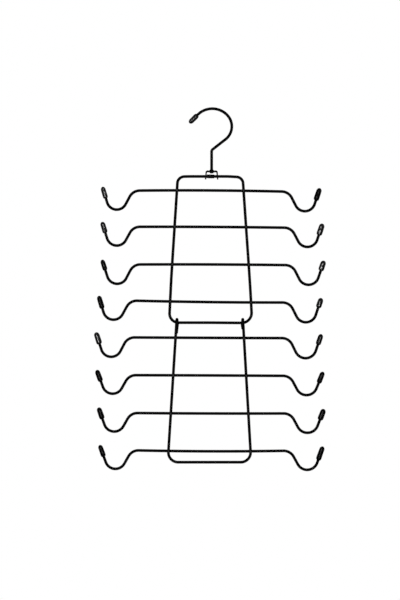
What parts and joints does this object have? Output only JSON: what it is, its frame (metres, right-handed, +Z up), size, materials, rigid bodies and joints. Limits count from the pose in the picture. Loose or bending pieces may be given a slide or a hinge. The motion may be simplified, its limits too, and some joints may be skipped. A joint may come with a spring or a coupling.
{
  "type": "folding tank top hanger",
  "caption": "Folding wire hanger for tank tops: a swivel hook carries hinged wire frames whose cross bars end in strap troughs with vinyl tips.",
  "frame": {"origin": "the inside top of the hook, where it rests on a closet rod", "axes": "+Z up, +X to the right and -Y towards the viewer, as in the picture"},
  "size_m": [0.3048, 0.0173, 0.4774],
  "materials": {
    "hook_wire": "glossy black baked enamel",
    "yoke_sheet": "black baked enamel on sheet",
    "frame_wire": "glossy black baked enamel",
    "bar_wire": "glossy black baked enamel",
    "vinyl_tip": "glossy black dipped vinyl"
  },
  "bodies": {
    "hook": {"swivel_hook": "hook_wire", "hook_tip": "vinyl_tip"},
    "yoke": {"swivel_yoke": "yoke_sheet"},
    "upper_half": {"upper_frame": "frame_wire", "joining_sleeve": "yoke_sheet", "cross_bar_1": "bar_wire", "cross_bar_2": "bar_wire", "cross_bar_3": "bar_wire", "cross_bar_4": "bar_wire", "tip_1_left": "vinyl_tip", "tip_1_right": "vinyl_tip", "tip_2_left": "vinyl_tip", "tip_2_right": "vinyl_tip", "tip_3_left": "vinyl_tip", "tip_3_right": "vinyl_tip", "tip_4_left": "vinyl_tip", "tip_4_right": "vinyl_tip"},
    "lower_half": {"lower_frame": "frame_wire", "cross_bar_5": "bar_wire", "cross_bar_6": "bar_wire", "cross_bar_7": "bar_wire", "cross_bar_8": "bar_wire", "tip_5_left": "vinyl_tip", "tip_5_right": "vinyl_tip", "tip_6_left": "vinyl_tip", "tip_6_right": "vinyl_tip", "tip_7_left": "vinyl_tip", "tip_7_right": "vinyl_tip", "tip_8_left": "vinyl_tip", "tip_8_right": "vinyl_tip"}
  },
  "joints": [
    {"name": "hook_swivel", "type": "hinge", "parent": "hook", "child": "yoke", "pos_m": [0, 0, -0.08014], "axis": [0, 0, 1], "continuous": true},
    {"name": "yoke_tilt", "type": "hinge", "parent": "yoke", "child": "upper_half", "pos_m": [0, 0, -0.08674], "axis": [-1, 0, 0], "range_deg": [-150, 100]},
    {"name": "fold", "type": "hinge", "parent": "upper_half", "child": "lower_half", "pos_m": [0, 0, -0.27814], "axis": [-1, 0, 0], "range_deg": [-130, 180]}
  ]
}
